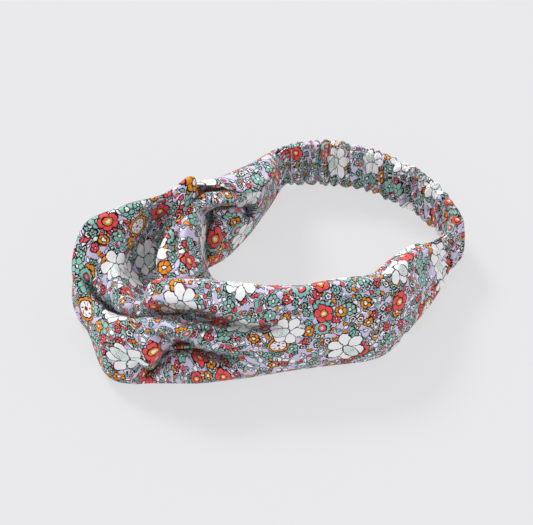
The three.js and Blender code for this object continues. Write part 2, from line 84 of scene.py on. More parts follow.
RIGHT_KNOT = sections(
    [-6, -71, 0, -6, -73.6, 4, -6, -75, 8, -6, -75.4, 12, -6, -75, 16, -6, -74.2, 19.6, -6, -75.4, 22,
     -6, -77, 24.4, -6, -77.2, 27.4, -6, -75.4, 30.2, -6, -72.6, 32, -6, -71.4, 34.4, -6, -70.6, 37.6,
     -6, -69.4, 41, -6, -66.6, 44.6, -6, -62, 46.4, -6, -56.6, 43.4],
    [-20, -73.6, 0, -20, -76, 4, -20, -76.6, 8, -20, -76, 12, -20, -74.6, 16, -20, -72.6, 19.6,
     -20, -72.4, 21.6, -20, -77.6, 22.6, -20, -79.4, 26, -20, -78.4, 30, -20, -75, 32.4, -20, -70.4, 31.4,
     -20, -69.4, 35, -20, -68.8, 39.4, -20, -66.6, 44.4, -20, -62, 48, -20, -56, 44.6],
    [-31, -75.4, 0, -31, -77, 4, -31, -77, 8, -31, -75.6, 12.4, -31, -73, 17, -31, -68.6, 20.6,
     -31, -68.4, 23, -31, -76.6, 24.4, -31, -79.6, 28, -31, -78.6, 32.4, -31, -75, 35, -31, -68.6, 32.6,
     -31, -67, 35.6, -31, -67.4, 40, -31, -65.4, 45, -31, -61.4, 49, -31, -55.6, 46],
    [-41, -75.6, 0, -41, -77, 4, -41, -76.4, 8, -41, -74.4, 12, -41, -70, 15.6, -41, -65, 18,
     -41, -66, 20.6, -41.4, -75.4, 22, -42, -79, 26.6, -42, -78.4, 31.4, -41.6, -75.6, 35.4,
     -41, -70.4, 35.6, -41, -65.4, 33.4, -41, -67, 38.4, -41, -66, 43, -41, -61.6, 49, -41, -55.4, 45.6],
    [-51, -76, 0.4, -51, -76.6, 3, -51, -75.6, 6, -50.4, -70, 7.6, -50.2, -70.4, 9.6, -50.6, -77, 10.6,
     -51, -79.6, 15, -51.4, -79.8, 20.4, -51.8, -79, 26, -51.8, -76.6, 31.4, -51.4, -73, 35,
     -51, -68.4, 35.4, -51, -63.6, 32.4, -51.4, -65, 37, -51.4, -64, 42, -51, -60.6, 46.6, -50, -55, 43],
    [-59, -76, 0.4, -60, -77.6, 4, -60.6, -78.6, 8.6, -60.8, -79, 13, -60.8, -78.6, 17.6, -60.6, -77.4, 22,
     -60.2, -75.4, 26.4, -59.8, -72.4, 30.6, -59.4, -68.8, 32.6, -59, -64.6, 30.4, -58.8, -62.6, 29.6,
     -58, -60.4, 31.6, -57.2, -58.8, 33.4, -56.6, -57.6, 33, -55.4, -56.4, 30.4, -53.4, -55.4, 28,
     -50.6, -54.4, 26.6],
    [-67, -73.6, 0.4, -69, -75, 4, -70, -75.4, 8.6, -70.4, -75.2, 13, -70.4, -74.2, 17.4, -70, -72, 21.6,
     -69, -69, 25.6, -67.6, -65.4, 28.4, -66.2, -61.6, 28.4, -65, -58.6, 26, -63.8, -57.4, 26.4,
     -62, -57, 31, -60.4, -56, 33, -58.6, -54.4, 31, -56.4, -53, 28, -53, -52, 25.6, -49, -51, 25],
    [-72.8, -66, 1, -74, -66, 6, -74.4, -65.6, 11, -74.6, -64.6, 15.4, -74.8, -62.6, 19, -76.4, -58.6, 22,
     -76, -54.6, 26, -73, -53, 27, -69.8, -53, 24.4, -67.8, -52.4, 24.6, -65.6, -52, 30, -63.4, -51, 32.4,
     -61, -49.6, 31, -58.4, -48.4, 28, -55.4, -47.4, 25, -51.4, -46.6, 23.4, -47, -46, 23.6],
    [-77, -52, 14, -79, -53, 15.4, -80.6, -52.8, 17.4, -81.8, -51.6, 20, -82.6, -49.6, 23.4, -82.8, -47, 27,
     -81.4, -44.6, 30.4, -78.4, -44, 32, -74.6, -45, 30, -71.2, -45.6, 28.6, -68.2, -45.6, 32.4,
     -65.2, -45.2, 33.8, -62, -44.4, 31.4, -58.6, -43.4, 28, -55, -42.4, 25, -51, -41.4, 23.4,
     -46, -40.4, 23.6],
    [-78.6, -38, 22, -81.2, -38.6, 23.4, -83.4, -38.6, 25.6, -84.8, -38, 28.6, -85.6, -36.6, 32,
     -85, -34.8, 36, -82.8, -33.6, 39, -79.4, -33.6, 40.6, -75.6, -34.8, 40, -71.6, -36, 37.6,
     -67.8, -36.6, 37, -64, -36.8, 35, -60.4, -36.6, 31.6, -57, -36, 28, -53.6, -35, 25, -49.6, -34, 23.4,
     -45, -33, 24],
    [-77, -29, 27, -79.6, -29.4, 28.6, -81.8, -29.6, 31.6, -83.4, -29.6, 35, -84, -29.2, 38.6,
     -83.4, -28.6, 42.2, -81.2, -28.2, 45, -78, -28.6, 46.2, -74, -29.6, 45.2, -70, -30.6, 42.6,
     -66, -31.2, 40.6, -62.2, -31.6, 37.6, -58.6, -31.6, 33.4, -55.2, -31, 29, -52, -30, 26, -48.4, -29, 25,
     -44, -28, 25.6],
    [-74, -20, 32, -76, -20.4, 35, -77.8, -20.8, 38.4, -79, -21.4, 42, -79.6, -22.4, 45.6, -79, -23.6, 48.8,
     -77, -24.4, 50.4, -74, -25.2, 50.2, -70.6, -26, 48.2, -67, -26.8, 45.8, -63.4, -27.2, 43,
     -60, -27.4, 39.4, -56.6, -27.4, 35.6, -53.4, -27, 31.6, -50.4, -26, 28.6, -47, -25, 27.4,
     -43, -24, 28],
    [-62, -9, 36, -62.8, -9.4, 39.4, -63.2, -10, 43, -63, -11.4, 46.6, -62.2, -13.6, 49.8, -61, -16, 51.8,
     -59.4, -18.2, 52.4, -57.8, -19.8, 50.8, -56.2, -21, 47.8, -54.6, -21.8, 44.4, -53, -22.4, 41,
     -51.4, -22.8, 37.6, -49.8, -23, 34.4, -48.2, -22.8, 31.4, -46.4, -22, 29.4, -44.4, -21, 28.4,
     -42, -20, 29],
    [-46, -3.6, 36, -46.4, -3.6, 39, -46.6, -3.8, 42, -46.2, -4.6, 45.4, -45.6, -6, 48.4, -44.6, -8, 50.8,
     -43.6, -10.4, 52, -42.8, -12.4, 50.8, -42.4, -13.8, 48.2, -42.2, -14.6, 45.4, -42.2, -15.2, 42,
     -42.2, -15.6, 38.6, -42.2, -15.8, 35.4, -42.2, -15.8, 32.6, -42.2, -15.4, 30.2, -41.8, -14.8, 28.2,
     -41, -14, 27],
    [-36.6, 0.4, 39, -36.4, 1, 42, -36, 1.4, 45, -35.4, 1.6, 48, -34.4, 1.4, 50.8, -33.2, 0.6, 53,
     -32.4, -1, 54, -32.4, -3, 53.2, -32.8, -5.2, 50.8, -33.4, -7, 47.6, -34.2, -9.4, 43.6,
     -34.8, -9.8, 40.4, -35.4, -9.8, 37.4, -36, -9.4, 34.6, -36.4, -8.8, 32.2, -36.6, -8.2, 30,
     -36.8, -7.4, 28],
)
RIGHT_BACK = sections(
    [-33, -1.4, 33, -32, -1.6, 36, -31.2, -2.2, 39, -30.6, -3.2, 41.4, -30.8, -4.6, 42, -31.8, -5.4, 40,
     -33, -5.4, 36.6, -34.2, -4.8, 33, -35, -4, 29.6],
    [-30, -5, 8, -29.6, -5.4, 11, -29.6, -6, 14.4, -29.8, -6.6, 18, -30.4, -7, 21.6, -31.2, -7.4, 25,
     -32, -7.6, 28, -33, -7.4, 30.6, -34, -6.6, 33],
    [-24, -24, 2, -23.6, -24.4, 5, -23.6, -25, 8.6, -23.8, -25.6, 12, -24.4, -26, 15, -25, -26.4, 17.6,
     -26, -26.4, 19.6, -27.2, -26, 21.2, -28.4, -25, 22.4],
    [-14, -46, 1, -13.6, -46.8, 6, -13.4, -47.6, 12, -13.2, -48.4, 17, -13.2, -49, 22, -13.2, -49.8, 26.6,
     -13.2, -50.4, 30.6, -13.4, -51, 34, -13.6, -51, 36.6],
    [0, -62.6, 1, 0, -63.8, 7, 0, -64.4, 14, 0, -64.4, 21, 0, -63.4, 28, 0, -61.6, 33.6, 0, -59.4, 38,
     0, -57, 40, 0, -54, 39.6],
    [25, -59, 1, 25, -62, 8, 25, -63.4, 15.6, 25, -63.2, 23, 25, -62, 30.6, 25, -60, 36.4, 25, -57.6, 40,
     24.6, -55, 40, 24, -51.4, 37.4],
    [43, -55.6, 1, 43.6, -58.6, 8, 43.6, -59.6, 15.6, 43, -59.2, 23, 42, -58, 30.4, 40.8, -56, 36.2,
     40, -53.6, 39.6, 39, -51.6, 40, 38, -47.6, 37],
    [54.4, -46.6, 1, 57, -49, 8, 57, -49.8, 15.4, 55.8, -49.8, 23, 54, -49.6, 29.6, 51.8, -49, 35,
     49.8, -47.6, 38, 48.4, -46, 38.6, 46.8, -43, 36],
    [63, -34, 1, 65.6, -35.4, 7, 65.8, -36, 13.6, 64.8, -36, 20, 63.2, -36, 26, 61, -35.8, 31,
     59, -35.4, 34.4, 56.6, -34.8, 36, 54.6, -32, 34],
    [71.6, -18.6, 1, 73.2, -19, 6, 73, -19.4, 11, 72.2, -19.6, 15.6, 71.4, -19.8, 20, 70, -20, 24,
     68.4, -20, 27, 66.6, -19.6, 29.6, 65, -18, 29],
    [77, -8.6, 1.6, 77.4, -9, 5, 77, -9.4, 8, 76.6, -9.8, 11.5, 76.2, -10.2, 15, 75.6, -10.8, 18,
     75, -11.4, 21, 74.2, -12, 23.6, 73.6, -12.6, 25.6],
    [79.9, -5.2, 2.4, 79.9, -5.3, 6.4, 79.9, -5.4, 10, 79.8, -5.5, 13, 79.7, -5.7, 16, 79.6, -5.9, 18.8,
     79.4, -6.1, 21, 79.2, -6.3, 23, 79, -6.5, 24.6],
    [81.3, -2, 3, 81.3, -2, 6.6, 81.3, -2, 10, 81.3, -2, 13, 81.3, -2, 16, 81.3, -2.1, 18.6,
     81.2, -2.2, 20.6, 81.2, -2.3, 22.2, 81.2, -2.4, 23.4],
)
# Left strip, from its floor edge to its top or inner edge: the outer leg, the bend, then the inner leg.
LEFT_OUTER = sections(
    [13, 50, 3, 13, 50.1, 6.8, 13, 50.1, 10.4, 13, 50.1, 14, 13, 50.1, 17.4, 13, 50.1, 20.6, 13, 50, 23.4],
    [10, 49.4, 2.4, 10, 49.5, 6.6, 10, 49.5, 10.4, 10, 49.5, 14.4, 10, 49.5, 18, 10, 49.4, 21.4,
     10, 49.3, 24.6],
    [6, 48.4, 1.6, 5.2, 48, 6, 4.8, 47.8, 11, 4.4, 47.6, 15.6, 4.2, 47.2, 19.6, 4.2, 46.4, 23.4,
     4.6, 45.2, 26.4],
    [-3, 34.6, 0, -5, 35, 9, -5.6, 35, 18, -5, 34.4, 26, -2.8, 33, 31.4, 0.8, 31, 33.6, 4, 29.2, 32],
    [-15, 20.4, 0, -17.4, 21, 11, -17.6, 21, 22, -16.4, 20, 32, -13.4, 17.6, 39, -8.6, 13, 40, -4, 8.4, 36],
    [-27, 13, 0, -28.4, 13.6, 10, -28.6, 13.2, 20, -27.8, 12.2, 30, -26.4, 9.6, 39.4, -23.4, 5.6, 45.2,
     -19.6, 1, 45.2],
    [-38, 10, 0, -39, 10.2, 10, -39, 9.8, 19, -38.4, 9, 28, -36.8, 7, 37, -34.4, 4.8, 44, -31.6, 1.8, 46.6],
    [-61, 1.4, 0, -62, 2, 7, -62.4, 1.6, 13.6, -62.4, 0.6, 20, -62, -1.2, 26, -61.4, -3.2, 31,
     -61, -5.4, 35.4],
    [-79, -13.6, 0, -81, -13, 6, -81.6, -13.2, 12, -81.6, -14, 18, -80.8, -15.4, 23.4, -79.6, -17.4, 28.8,
     -77.4, -20.6, 34],
    [-83, -31, 0, -85, -31, 4, -85.4, -31, 8, -85, -31.4, 12, -84, -31.8, 15.8, -82, -31.8, 20,
     -78.6, -32.2, 24.4],
    [-77, -45, 0.4, -78.4, -45.2, 2.6, -78.4, -45.4, 5, -77.6, -45.4, 7.4, -77.2, -45.4, 9.8,
     -76.4, -45.2, 13, -74.6, -45.2, 16],
    [-63, -56, 1, -63.6, -57, 4.6, -63.6, -57.6, 8.6, -63, -57.6, 12.6, -62, -57, 16, -61, -56, 18.6,
     -60, -54.6, 20.4],
    [-48, -60, 2, -48, -61.6, 5, -48, -62, 8.6, -47.6, -62, 12, -47, -61, 15, -46.6, -59.6, 18,
     -46, -57.6, 21],
    [-32, -54, 4, -31.4, -55, 8, -31.4, -55.6, 12.6, -32.6, -55.6, 17.6, -35.6, -55.2, 22,
     -39.6, -54.6, 25.6, -44, -53.6, 28],
)
LEFT_INNER = sections(
    [-27.6, -42, 20, -28.2, -41.8, 24, -29.8, -41.8, 27.4, -32.4, -42, 30.4, -35.6, -42.2, 32.4,
     -39, -42.4, 33.4, -42.4, -42.6, 33.6, -45.4, -42.6, 33, -48, -42.4, 31.6],
    [-28, -29.6, 23, -28.6, -28, 28.6, -30, -27, 32.6, -32.4, -27, 35.6, -35.6, -27.6, 38, -39, -28.8, 39.4,
     -42.4, -30, 39.6, -45.6, -31.4, 38.4, -48.4, -32.6, 36],
    [-28.2, -15, 12, -28.8, -16, 19, -29.2, -16.2, 26, -29.6, -16, 32, -30.4, -15.6, 37, -32, -15.8, 41,
     -34.2, -16.4, 43.6, -36.8, -17.6, 44.4, -39.4, -19, 43.8, -41.8, -20.6, 42, -44, -22.4, 39.6],
    [-27.2, -6, 2, -26.6, -7.6, 9.6, -26.2, -8.4, 17, -26, -7.4, 24, -26, -3.4, 29.4, -26, -2.4, 34,
     -26, -6.6, 39.4, -26.8, -8.2, 43.4, -28.6, -8, 46, -31, -8.4, 46.8, -33.4, -10.4, 46],
    [-23.6, -1.6, 0, -22.6, -3.6, 9, -21.8, -4.8, 17, -21.6, -3.6, 23.4, -21.6, 1.6, 27.6, -21.4, 3.6, 32,
     -21, -0.6, 37, -21.6, -4.6, 40.6, -22.8, -5.4, 43.4, -25, -4.4, 45.6, -27.6, -2.6, 46],
    [-18.6, 2.8, 0, -17.4, 0.8, 8.6, -16.4, -0.6, 16.4, -15.4, 0, 22.6, -14.4, 5.4, 26.4, -13.8, 6.6, 30.4,
     -13.6, 2.4, 34.6, -14.4, -0.8, 37.6, -16, -1.8, 40.6, -18.4, -0.8, 43, -21, 1, 43.6],
    [-8, 17.2, 0, -6.8, 15.4, 7, -5.6, 13.2, 13.4, -4.6, 12, 19.4, -4, 13.4, 24, -4, 14.2, 28,
     -4.4, 12.4, 31, -5.2, 11.8, 33.4, -6.6, 12.6, 35.4, -8.6, 14, 36.4, -10.8, 15.6, 36.4],
    [0.6, 33.4, 0, 2, 32, 6.4, 3, 31, 12.6, 3.4, 30.4, 18, 3.2, 30.4, 22.6, 2.2, 31, 26, 0.8, 32, 28,
     -0.8, 33, 28.8, -2.4, 34, 28],
    [6.6, 44.4, 2.4, 6.6, 44, 7, 6.6, 43.6, 12, 6.4, 43.2, 16.6, 6.2, 43, 20.4, 5.8, 42.8, 23.6,
     5.4, 42.4, 26],
    [10, 48, 2.4, 10, 48, 6.6, 10, 48, 10.4, 10, 48, 14.4, 10, 48, 18, 10, 48, 21.4, 10, 48, 24.6],
    [13, 49, 3, 13, 49, 6.8, 13, 49, 10.4, 13, 49, 14, 13, 49, 17.4, 13, 49, 20.6, 13, 49, 23.4],
)
CASING_PATH = [
    [9.4, 48.6], [14, 49.8], [25, 50.7], [35, 48.8], [44, 45.8], [54, 41.2], [63, 35],
    [71, 27.6], [77.2, 19.6], [81.6, 10], [83, 1], [80.6, -6.6],
]


# ---------------------------------------------------------------- shape tools
def spline(knots, places):
    """Centripetal Catmull-Rom through knots (n, ..., 3) at places 0..n-1 along the first axis."""
    knots = np.asarray(knots, float)
    n = len(knots)
    before, after = 2 * knots[0] - knots[1], 2 * knots[-1] - knots[-2]
    k = np.concatenate([before[None], knots, after[None]])
    seg = np.clip(np.floor(places).astype(int), 0, n - 2)
    f = (places - seg).reshape((-1,) + (1,) * (knots.ndim - 1))
    p0, p1, p2, p3 = (k[seg + i] for i in range(4))

    def gap(a, b):
        return np.maximum(np.sqrt(np.linalg.norm(b - a, axis=-1, keepdims=True)), 1e-3)

    d1, d2, d3 = gap(p0, p1), gap(p1, p2), gap(p2, p3)
    m1 = ((p1 - p0) / d1 - (p2 - p0) / (d1 + d2) + (p2 - p1) / d2) * d2
    m2 = ((p2 - p1) / d2 - (p3 - p1) / (d2 + d3) + (p3 - p2) / d3) * d2
    a, b = 2 * (p1 - p2) + m1 + m2, -3 * (p1 - p2) - 2 * m1 - m2
    return ((a * f + b) * f + m1) * f + p1


def even(points, count):
    """Places along the first axis of (n, m, 3) points that divide the mean length evenly."""
    dense = np.linspace(0, len(points) - 1, 40 * (len(points) - 1) + 1)
    line = spline(points, dense)
    step = np.linalg.norm(np.diff(line, axis=0), axis=-1)
    step = step.mean(axis=1) if step.ndim > 1 else step
    length = np.concatenate([[0], np.cumsum(step)])
    return np.interp(np.linspace(0, length[-1], count), length, dense)


def run_length(line):
    """Distance along a line of points, from its start to each point."""
    return np.concatenate([[0], np.cumsum(np.linalg.norm(np.diff(line, axis=0), axis=-1))])


def matched(rows, count):
    """The sections with the same number of points each: a shorter one gets count points, evenly spread."""
    out = []
    for row in rows:
        row = np.array(row, float)
        if len(row) != count:
            row = spline(row, even(row[:, None], count))
        out.append(row)
    return np.array(out)


def loft(knots, step, across):
    """A (stations, across, 3) grid in mm through the control sections, with stations about step apart."""
    dense = np.linspace(0, len(knots) - 1, 40 * (len(knots) - 1) + 1)
    line = spline(knots, dense)
    length = np.linalg.norm(np.diff(line, axis=0), axis=-1).mean(axis=1).sum()
    places = even(knots, int(round(length / step)) + 1)
    rows = spline(knots, places)
    out = np.empty((len(rows), across, 3))
    for i, row in enumerate(rows):
        out[i] = spline(row, even(row[:, None], across))
    return out, places


def grid_normals(g):
    along = np.gradient(g, axis=0)
    side = np.gradient(g, axis=1)
    n = np.cross(along, side)
    return n / np.maximum(np.linalg.norm(n, axis=-1, keepdims=True), 1e-9)


def smooth_noise(shape, cells, seed):
    """Smooth noise in -1..1 on a grid of shape, with about cells[k] bumps along axis k."""
    r = np.random.default_rng(seed)
    coarse = r.uniform(-1, 1, (cells[0] + 4, cells[1] + 4))
    out = coarse
    for axis in (0, 1):
        at = np.linspace(1, cells[axis] + 1, shape[axis])
        i = np.floor(at).astype(int)
        f = at - i
        p = [np.take(out, i + k, axis=axis) for k in (-1, 0, 1, 2)]
        f = f[:, None] if axis == 0 else f[None, :]
        out = (
            p[0] * (1 - f) ** 3 / 6
            + p[1] * (3 * f**3 - 6 * f**2 + 4) / 6
            + p[2] * (-3 * f**3 + 3 * f**2 + 3 * f + 1) / 6
            + p[3] * f**3 / 6
        )
    return out / max(np.abs(out).max(), 1e-9)


def new_mesh(name, verts_mm, faces, uvs=None):
    """A smooth-shaded object from points in mm; uvs are per point or per face corner."""
    me = bpy.data.meshes.new(name)
    me.from_pydata([tuple(v) for v in (np.asarray(verts_mm) + SHIFT) * MM], [], [tuple(f) for f in faces])
    me.update()
    if uvs is not None:
        layer = me.uv_layers.new(name="cloth")
        loops = np.empty(len(me.loops), int)
        me.loops.foreach_get("vertex_index", loops)
        uvs = np.asarray(uvs, float)
        corners = uvs[loops] if len(uvs) != len(loops) else uvs
        layer.data.foreach_set("uv", corners.astype(np.float32).ravel())
    me.polygons.foreach_set("use_smooth", [True] * len(me.polygons))
    ob = bpy.data.objects.new(name, me)
    bpy.context.scene.collection.objects.link(ob)
    return ob


def flat_uv(g, every):
    """Flattens a grid with as little stretch as it can, in mm: a (stations, across, 2) array."""
    rows = np.unique(np.concatenate([np.arange(0, g.shape[0], every), [g.shape[0] - 1]]))
    cols = np.unique(np.concatenate([np.arange(0, g.shape[1], every), [g.shape[1] - 1]]))
    c = g[np.ix_(rows, cols)]
    n, m = c.shape[:2]
    at = np.arange(n * m).reshape(n, m)
    faces = np.stack([at[:-1, :-1], at[1:, :-1], at[1:, 1:], at[:-1, 1:]], axis=-1).reshape(-1, 4)
    ob = new_mesh("flatten", c.reshape(-1, 3), faces)
    bpy.context.view_layer.objects.active = ob
    ob.select_set(True)
    ob.data.uv_layers.new(name="flat")
    bpy.ops.object.mode_set(mode="EDIT")
    bpy.ops.mesh.select_all(action="SELECT")
    bpy.ops.uv.unwrap(method="MINIMUM_STRETCH", margin=0.0, iterations=30, no_flip=True)
    bpy.ops.object.mode_set(mode="OBJECT")
    uv = np.empty(len(ob.data.loops) * 2, np.float32)
    ob.data.uv_layers["flat"].data.foreach_get("uv", uv)
    loops = np.empty(len(ob.data.loops), int)
    ob.data.loops.foreach_get("vertex_index", loops)
    flat = np.zeros((n * m, 2))
    flat[loops] = uv.reshape(-1, 2)
    flat = flat.reshape(n, m, 2)
    bpy.data.objects.remove(ob)
    real = np.concatenate([np.linalg.norm(np.diff(c, axis=k), axis=-1).ravel() for k in (0, 1)])
    made = np.concatenate([np.linalg.norm(np.diff(flat, axis=k), axis=-1).ravel() for k in (0, 1)])
    flat *= np.median(real / np.maximum(made, 1e-12))
    full = np.empty((g.shape[0], m, 2))
    for j in range(m):
        for k in range(2):
            full[:, j, k] = np.interp(np.arange(g.shape[0]), rows, flat[:, j, k])
    out = np.empty(g.shape[:2] + (2,))
    for i in range(g.shape[0]):
        for k in range(2):
            out[i, :, k] = np.interp(np.arange(g.shape[1]), cols, full[i, :, k])
    return out


def end_caps(rings, count, faces, flip):
    """Faces that close both ends of a tube whose rings have count points."""
    caps = []
    for row in (0, (rings - 1) * count):
        for a in range(faces):
            cap = [row + a, row + a + 1, row + count - a - 1, row + (count - a) % count]
            cap = list(dict.fromkeys(cap))
            caps.append(cap[::-1] if (row == 0) == flip else cap)
    return caps


def strip_cloth(name, g, uv, half):
    """A turned strip lying flat round the middle sheet g: two faces that meet in a soft fold at each edge."""
    n, m = g.shape[:2]
    normal = grid_normals(g)
    top = g + normal * half[..., None]
    under = g - normal * half[..., None]
    ring = np.concatenate([top, under[:, -2:0:-1]], axis=1)
    count = ring.shape[1]
    ruv = np.concatenate([uv, uv[:, -2:0:-1] + np.array([0.0, FACE_SHIFT])], axis=1)
    verts = ring.reshape(-1, 3)
    verts[:, 2] = np.maximum(verts[:, 2], FLOOR_GAP)
    i, j = np.meshgrid(np.arange(n - 1), np.arange(count), indexing="ij")
    k = (j + 1) % count
    quads = np.stack([i * count + j, (i + 1) * count + j, (i + 1) * count + k, i * count + k], axis=-1)
    quads = quads.reshape(-1, 4)
    caps = end_caps(n, count, m - 1, False)
    flat = ruv.reshape(-1, 2)
    corner = flat[quads].copy()
    under_face = j.ravel() >= m - 1
    shift = np.array([0.0, FACE_SHIFT])
    lone = (quads % count <= m - 1) & under_face[:, None]
    corner[lone] += shift
    ends = np.concatenate([flat[cap] for cap in caps])
    return new_mesh(name, verts, quads.tolist() + caps, np.concatenate([corner.reshape(-1, 2), ends]))


# ---------------------------------------------------------------- print and cloth material
def srgb(r, g, b):
    """A linear colour from 8-bit sRGB values."""
    def linear(c):
        return (c / 255 / 12.92) if c / 255 <= 0.04045 else ((c / 255 + 0.055) / 1.055) ** 2.4
    return (linear(r), linear(g), linear(b), 1.0)


LILAC = srgb(216, 206, 236)
TEAL = srgb(146, 198, 184)
CORAL = srgb(240, 84, 90)
ORANGE = srgb(240, 146, 30)
WHITE = srgb(252, 252, 252)
INK = srgb(6, 16, 16)
SEED = srgb(150, 40, 46)


class Nodes:
    """A short hand for building a shader node tree."""

    def __init__(self, tree):
        self.tree = tree

    def link(self, value, socket):
        if isinstance(value, bpy.types.NodeSocket):
            self.tree.links.new(value, socket)
        else:
            socket.default_value = value

    def math(self, op, a, b=0.0, c=None):
        node = self.tree.nodes.new("ShaderNodeMath")
        node.operation = op
        self.link(a, node.inputs[0])
        self.link(b, node.inputs[1])
        if c is not None:
            self.link(c, node.inputs[2])
        return node.outputs[0]

    def mul(self, a, b):
        return self.math("MULTIPLY", a, b)

    def add(self, a, b):
        return self.math("ADD", a, b)

    def sub(self, a, b):
        return self.math("SUBTRACT", a, b)

    def abs(self, a):
        return self.math("ABSOLUTE", a)

    def vmath(self, op, a, b=None, out=0, scale=None):
        node = self.tree.nodes.new("ShaderNodeVectorMath")
        node.operation = op
        self.link(a, node.inputs[0])
        if b is not None:
            self.link(b, node.inputs[1])
        if scale is not None:
            self.link(scale, node.inputs["Scale"])
        return node.outputs[out]

    def split(self, v):
        node = self.tree.nodes.new("ShaderNodeSeparateXYZ")
        self.link(v, node.inputs[0])
        return node.outputs

    def join(self, x, y, z=0.0):
        node = self.tree.nodes.new("ShaderNodeCombineXYZ")
        for value, socket in zip((x, y, z), node.inputs):
            self.link(value, socket)
        return node.outputs[0]

    def mix(self, f, a, b):
        node = self.tree.nodes.new("ShaderNodeMix")
        node.data_type = "RGBA"
        self.link(f, node.inputs[0])
        self.link(a, node.inputs[6])
        self.link(b, node.inputs[7])
        return node.outputs[2]

    def voronoi(self, v, feature="F1", randomness=1.0):
        node = self.tree.nodes.new("ShaderNodeTexVoronoi")
        node.voronoi_dimensions, node.feature = "2D", feature
        self.link(v, node.inputs["Vector"])
        node.inputs["Scale"].default_value = 1.0
        node.inputs["Randomness"].default_value = randomness
        return node.outputs

    def noise(self, v, scale, detail=2.0, dims="2D"):
        node = self.tree.nodes.new("ShaderNodeTexNoise")
        node.noise_dimensions = dims
        self.link(v, node.inputs["Vector"])
        node.inputs["Scale"].default_value = scale
        node.inputs["Detail"].default_value = detail
        return node.outputs

    def bump(self, height, strength, distance, shader):
        node = self.tree.nodes.new("ShaderNodeBump")
        node.inputs["Strength"].default_value = strength
        node.inputs["Distance"].default_value = distance
        self.tree.links.new(height, node.inputs["Height"])
        self.tree.links.new(node.outputs[0], shader.inputs["Normal"])

    def below(self, value, limit, soft):
        """1 where value is under limit, 0 above it, with an edge soft wide."""
        node = self.tree.nodes.new("ShaderNodeMapRange")
        node.interpolation_type = "SMOOTHSTEP"
        self.link(value, node.inputs[0])
        if isinstance(limit, bpy.types.NodeSocket):
            self.link(self.math("SUBTRACT", limit, soft), node.inputs[1])
            self.link(self.math("ADD", limit, soft), node.inputs[2])
        else:
            node.inputs[1].default_value, node.inputs[2].default_value = limit - soft, limit + soft
        node.inputs[3].default_value, node.inputs[4].default_value = 1.0, 0.0
        return node.outputs[0]


EDGE = 0.07  # mm, half width of a soft colour edge
LINE = 0.28  # mm, half width of an ink line


def motif_cells(n, uv, cell, seed, randomness=0.75):
    """Local polar coordinates of a scattered motif: (radius mm, angle, three random numbers)."""
    moved = n.vmath("MULTIPLY_ADD", uv, (1 / cell, 1 / cell, 0.0))
    moved.node.inputs[2].default_value = (seed * 7.13, seed * 3.71, 0.0)
    v = n.voronoi(moved, "F1", randomness)
    local = n.vmath("SCALE", n.vmath("SUBTRACT", moved, v["Position"]), scale=cell)
    x, y, _ = n.split(local)
    pick = n.split(v["Color"])
    radius = n.vmath("LENGTH", local, out=1)
    angle = n.add(n.math("ARCTAN2", y, x), n.mul(pick[0], 6.283))
    return radius, angle, pick


def ring_line(n, value, limit, half=LINE):
    """1 on an ink line along value == limit."""
    return n.below(n.abs(n.sub(value, limit)), half, EDGE)


def petals(n, angle, count, size, deep, power=0.6):
    """Edge radius of a flower of count petals; returns (edge, the gap wave 0 at the gaps)."""
    wave = n.abs(n.math("COSINE", n.mul(angle, count / 2)))
    lobe = n.math("POWER", wave, power)
    scale = n.math("MULTIPLY_ADD", lobe, deep, 1 - deep)
    return n.mul(scale, size), wave


def flower_layer(n, base, uv, cell, seed, count, size, deep, share, colours, heart, heart_colour,
                 dot_colour=None, spokes=True, randomness=0.75, power=0.6, vary=0.25):
    """Lays one scatter of flowers over base. colours is (first, second, split)."""
    radius, angle, pick = motif_cells(n, uv, cell, seed, randomness)
    shown = n.below(pick[1], share, 0.001)
    grow = n.math("MULTIPLY_ADD", pick[2], vary, 1 - vary)
    edge, wave = petals(n, angle, count, size, deep, power)
    edge = n.mul(edge, grow)
    inside = n.mul(n.below(radius, edge, EDGE), shown)
    other = n.math("FRACT", n.mul(pick[2], 7.31))
    fill = n.mix(n.below(other, colours[2], 0.001), colours[1], colours[0])
    colour = n.mix(inside, base, fill)
    if spokes:
        width = n.mul(wave, radius)
        gap = n.below(width, count * 0.5 * 0.17, 0.12)
        gap = n.mul(gap, n.mul(inside, n.below(radius, n.mul(edge, 0.95), 0.2)))
        colour = n.mix(n.mul(gap, 0.85), colour, INK)
    line = n.mul(ring_line(n, radius, edge), shown)
    colour = n.mix(line, colour, INK)
    middle = n.mul(n.below(radius, heart, EDGE), shown)
    colour = n.mix(middle, colour, heart_colour)
    colour = n.mix(n.mul(ring_line(n, radius, heart, LINE * 0.8), shown), colour, INK)
    if dot_colour:
        colour = n.mix(n.mul(n.below(radius, heart * 0.42, EDGE), shown), colour, dot_colour)
    return colour


def leaf_layer(n, base, uv, cell, seed, length, width, share, colours, randomness=0.9):
    radius, angle, pick = motif_cells(n, uv, cell, seed, randomness)
    shown = n.below(pick[1], share, 0.001)
    along = n.mul(radius, n.math("COSINE", angle))
    side = n.abs(n.mul(radius, n.math("SINE", angle)))
    ratio = n.math("DIVIDE", along, length)
    edge = n.mul(n.sub(1.0, n.mul(ratio, ratio)), width)
    gap = n.sub(side, edge)
    inside = n.mul(n.below(gap, 0.0, EDGE), shown)
    other = n.math("FRACT", n.mul(pick[2], 5.77))
    fill = n.mix(n.below(other, colours[2], 0.001), colours[1], colours[0])
    colour = n.mix(inside, base, fill)
    near = n.below(radius, length * 1.15, 0.05)
    line = n.mul(n.below(n.abs(gap), LINE * 0.8, EDGE), n.mul(shown, near))
    return n.mix(line, colour, INK)


